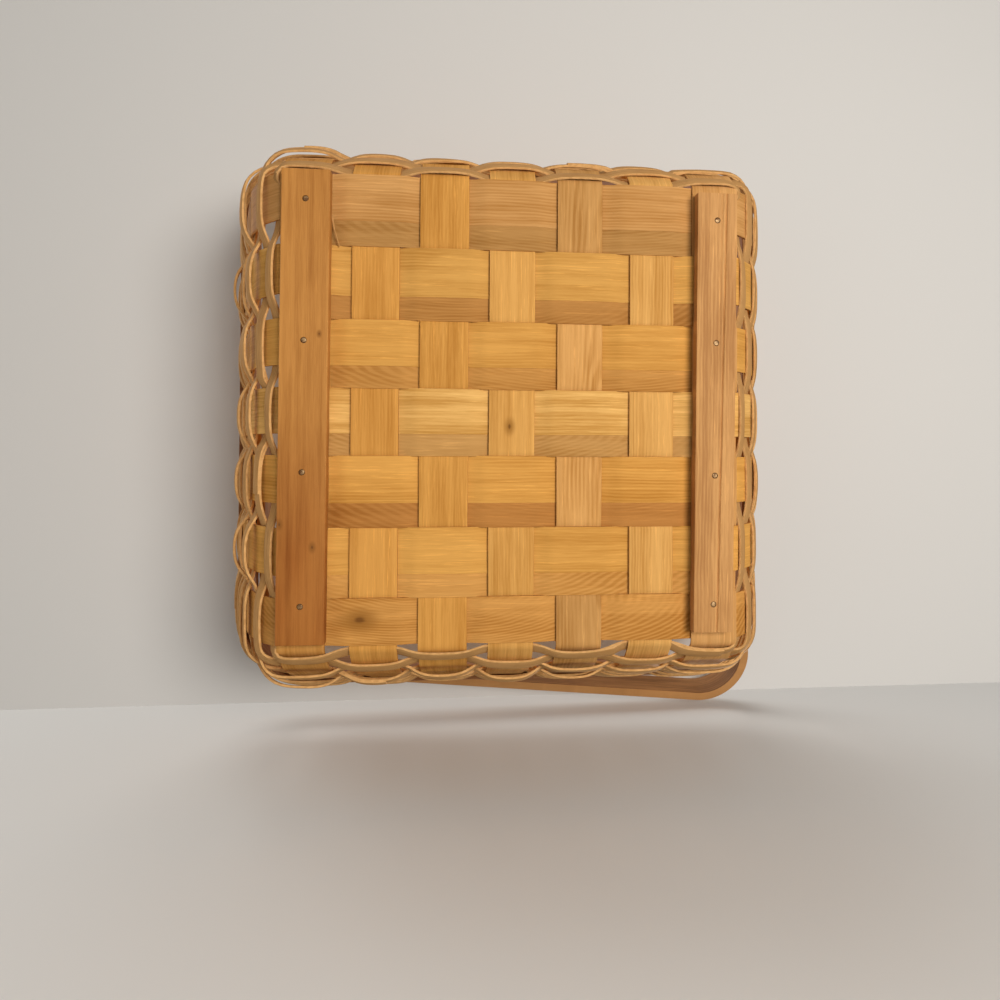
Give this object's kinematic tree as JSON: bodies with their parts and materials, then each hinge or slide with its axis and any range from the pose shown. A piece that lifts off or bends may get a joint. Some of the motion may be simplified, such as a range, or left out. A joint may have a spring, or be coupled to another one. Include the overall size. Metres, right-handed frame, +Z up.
{
  "type": "woven wood basket",
  "caption": "Square flared basket woven from wood splints and reed, on two flat runners, with a bent wood handle that swings over the rim.",
  "frame": {"origin": "on the surface the basket stands on, under the middle of its outline with the handle laid down", "axes": "+Z up through the open top, +Y along the stakes and the runners, +X along the cross splints towards the wider runner; at rest the handle lies towards -Y"},
  "size_m": [0.3066, 0.324, 0.1499],
  "materials": {
    "stake_wood": "golden wood splint, satin, fine lengthwise grain",
    "cross_wood": "golden wood splint, satin, fine lengthwise grain",
    "filler_wood": "greyer brown wood splint, satin",
    "weaver_reed": "flat split reed, matt, with pale cut edges",
    "rim_wood": "bent wood strip, brown, satin",
    "handle_wood": "bent wood strip, tan, smooth",
    "runner_dark": "orange-brown sawn wood, smooth",
    "runner_pale": "pinkish tan sawn wood, with a lengthwise groove",
    "nail_steel": "dull small nails, slightly rusted",
    "rivet_brass": "aged brass"
  },
  "bodies": {
    "basket": {"cross_splint_1": "cross_wood", "cross_splint_2": "cross_wood", "cross_splint_3": "cross_wood", "cross_splint_4": "cross_wood", "cross_splint_5": "cross_wood", "cross_splint_6": "cross_wood", "cross_splint_7": "cross_wood", "filler_1": "filler_wood", "filler_2": "filler_wood", "filler_3": "filler_wood", "filler_4": "filler_wood", "filler_5": "filler_wood", "filler_6": "filler_wood", "inner_rim": "rim_wood", "outer_rim": "rim_wood", "rim_nail_back_2": "nail_steel", "rim_nail_back_6": "nail_steel", "rim_nail_front_2": "nail_steel", "rim_nail_front_6": "nail_steel", "rim_nail_left_2": "nail_steel", "rim_nail_left_6": "nail_steel", "rim_nail_right_2": "nail_steel", "rim_nail_right_6": "nail_steel", "rivet_left": "rivet_brass", "rivet_right": "rivet_brass", "runner_left": "runner_pale", "runner_nail_left_1": "nail_steel", "runner_nail_left_2": "nail_steel", "runner_nail_left_3": "nail_steel", "runner_nail_left_4": "nail_steel", "runner_nail_right_1": "nail_steel", "runner_nail_right_2": "nail_steel", "runner_nail_right_3": "nail_steel", "runner_nail_right_4": "nail_steel", "runner_right": "runner_dark", "stake_1": "stake_wood", "stake_2": "stake_wood", "stake_3": "stake_wood", "stake_4": "stake_wood", "stake_5": "stake_wood", "stake_6": "stake_wood", "stake_7": "stake_wood", "washer_left": "rivet_brass", "washer_right": "rivet_brass", "weaver_01": "weaver_reed", "weaver_02": "weaver_reed", "weaver_03": "weaver_reed", "weaver_04": "weaver_reed", "weaver_05": "weaver_reed", "weaver_06": "weaver_reed", "weaver_07": "weaver_reed", "weaver_08": "weaver_reed", "weaver_09": "weaver_reed", "weaver_10": "weaver_reed", "weaver_11": "weaver_reed", "weaver_12": "weaver_reed"},
    "handle": {"handle": "handle_wood"}
  },
  "joints": [
    {"name": "handle_swing", "type": "hinge", "parent": "basket", "child": "handle", "pos_m": [0.00386, 0.01363, 0.10405], "axis": [-1, 0, 0], "range_deg": [0, 156.2]}
  ]
}
